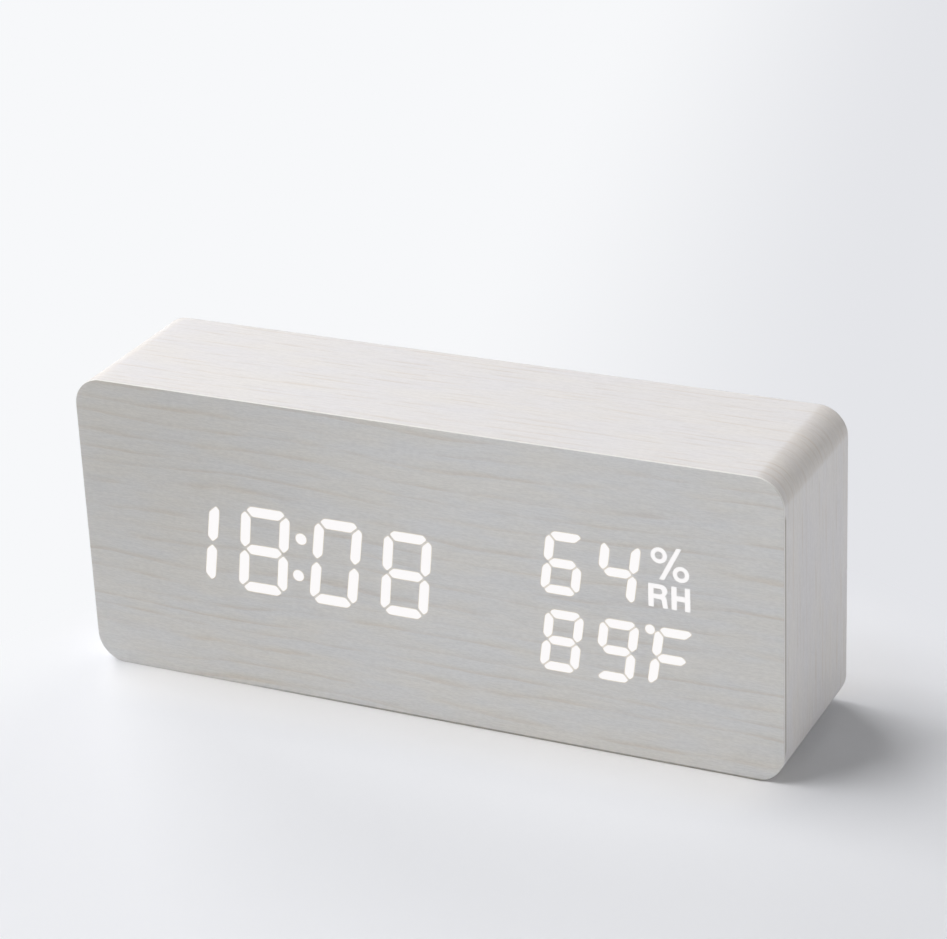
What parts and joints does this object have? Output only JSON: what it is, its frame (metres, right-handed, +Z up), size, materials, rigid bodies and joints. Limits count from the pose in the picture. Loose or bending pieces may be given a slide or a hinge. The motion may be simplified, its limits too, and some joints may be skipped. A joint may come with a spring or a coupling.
{
  "type": "wooden digital clock",
  "caption": "Oblong veneered desk clock whose lit numerals shine through a thin wooden front, with rear buttons, power socket and battery bay.",
  "frame": {"origin": "on the ground under the middle of the case", "axes": "+Z up, +X to the right along the length seen from the front, -Y out of the front face"},
  "size_m": [0.15, 0.036, 0.063],
  "materials": {
    "front_sheet": "matt white-stained veneer",
    "wrap_sheet": "matt white-stained veneer",
    "fibreboard": "raw",
    "diffuser": "matt",
    "white_plastic": "satin",
    "back_plastic": "spark-eroded satin",
    "grey_plastic": "satin",
    "black_plastic": "satin",
    "blue_plastic": "satin",
    "circuit_board": "solder mask",
    "steel": "zinc plated",
    "nickel": "nickel plated",
    "cell_sleeve": "gloss shrink sleeve",
    "grey_cable": "satin",
    "red_lead": "satin",
    "black_lead": "satin"
  },
  "bodies": {
    "case": {"front_veneer": "front_sheet", "wrap_veneer": "wrap_sheet", "case_core": "fibreboard", "diffuser_film": "diffuser", "display_reflector": "white_plastic", "led_board": "circuit_board", "display_driver": "black_plastic", "led_board_connector": "white_plastic", "ribbon_cable": "grey_cable", "main_board_connector": "white_plastic", "main_board": "circuit_board", "controller_chip": "black_plastic", "clock_crystal": "nickel", "filter_capacitor": "steel", "buzzer": "black_plastic", "sound_sensor": "nickel", "climate_sensor": "blue_plastic", "usb_socket": "nickel", "set_switch_body": "steel", "up_switch_body": "steel", "down_switch_body": "steel", "rear_panel": "back_plastic", "led_board_screw_1": "steel", "led_board_screw_2": "steel", "led_board_screw_3": "steel", "led_board_screw_4": "steel", "main_board_screw_1": "steel", "main_board_screw_2": "steel", "main_board_screw_3": "steel", "main_board_screw_4": "steel", "panel_screw_1": "steel", "panel_screw_2": "steel", "panel_screw_3": "steel", "panel_screw_4": "steel", "battery_cell_1": "cell_sleeve", "battery_cell_2": "cell_sleeve", "battery_cell_3": "cell_sleeve", "contact_negative": "nickel", "contact_positive": "nickel", "contact_link_left": "nickel", "contact_link_right": "nickel", "negative_lead": "black_lead", "positive_lead": "red_lead"},
    "set_key": {"set_button": "grey_plastic", "set_switch_plunger": "black_plastic"},
    "up_key": {"up_button": "grey_plastic", "up_switch_plunger": "black_plastic"},
    "down_key": {"down_button": "grey_plastic", "down_switch_plunger": "black_plastic"},
    "battery_lid": {"battery_door": "back_plastic"}
  },
  "joints": [
    {"name": "set_press", "type": "slide", "parent": "case", "child": "set_key", "axis": [0, -1, 0], "range_m": [0, 0.0006], "stiffness_N_per_m": 800},
    {"name": "up_press", "type": "slide", "parent": "case", "child": "up_key", "axis": [0, -1, 0], "range_m": [0, 0.0006], "stiffness_N_per_m": 800},
    {"name": "down_press", "type": "slide", "parent": "case", "child": "down_key", "axis": [0, -1, 0], "range_m": [0, 0.0006], "stiffness_N_per_m": 800},
    {"name": "battery_door_swing", "type": "hinge", "parent": "case", "child": "battery_lid", "pos_m": [-0.0333, 0.0165, 0.0135], "axis": [-1, 0, 0], "range_deg": [0, 60]}
  ]
}
